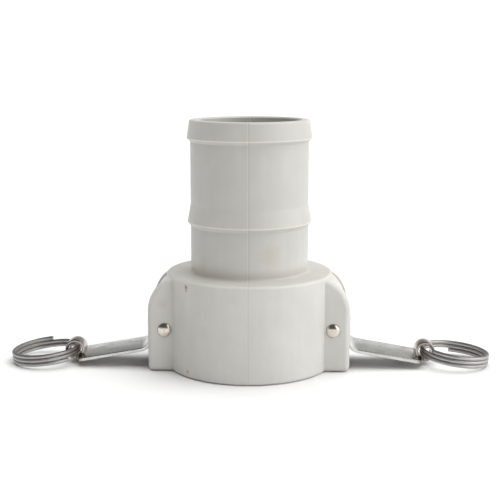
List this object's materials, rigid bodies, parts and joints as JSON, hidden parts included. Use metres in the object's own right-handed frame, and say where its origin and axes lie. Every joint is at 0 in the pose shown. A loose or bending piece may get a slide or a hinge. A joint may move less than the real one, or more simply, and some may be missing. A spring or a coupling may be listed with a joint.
{
  "type": "female camlock coupler with hose shank",
  "caption": "Moulded plastic camlock coupler: round socket with a sealing ring, pressed cam arms on hinge pins, split pull rings, barbed hose shank.",
  "frame": {"origin": "on the socket axis in the plane of the socket mouth, which is also the lowest plane of the part", "axes": "+Z along the socket axis from the mouth to the hose end, +X towards the right cam arm, +Y away from the side with the visible mould seam"},
  "size_m": [0.3197, 0.1094, 0.162],
  "materials": {
    "body_moulding": "light warm grey polypropylene, satin, with fine mould texture",
    "gasket_rubber": "black nitrile rubber, matt",
    "arm_steel": "stainless sheet, drawn surface with a soft sheen",
    "pin_steel": "turned stainless rod, smooth",
    "ring_wire": "bright drawn stainless wire"
  },
  "bodies": {
    "coupler": {"coupler_body": "body_moulding", "gasket": "gasket_rubber", "right_hinge_pin": "pin_steel", "left_hinge_pin": "pin_steel"},
    "right_arm": {"right_cam_arm": "arm_steel"},
    "left_arm": {"left_cam_arm": "arm_steel"},
    "right_ring": {"right_pull_ring": "ring_wire"},
    "left_ring": {"left_pull_ring": "ring_wire"}
  },
  "joints": [
    {"name": "right_arm_hinge", "type": "hinge", "parent": "coupler", "child": "right_arm", "pos_m": [0.0545, 0, 0.0277], "axis": [0, -1, 0], "range_deg": [0, 98]},
    {"name": "left_arm_hinge", "type": "hinge", "parent": "coupler", "child": "left_arm", "pos_m": [-0.0545, 0, 0.0277], "axis": [0, 1, 0], "range_deg": [0, 98]},
    {"name": "right_ring_swing", "type": "hinge", "parent": "right_arm", "child": "right_ring", "pos_m": [0.1167, 0, 0.009], "axis": [0, -1, 0], "range_deg": [-75, 28]},
    {"name": "left_ring_swing", "type": "hinge", "parent": "left_arm", "child": "left_ring", "pos_m": [-0.1167, 0, 0.009], "axis": [0, 1, 0], "range_deg": [-58, 28]}
  ]
}
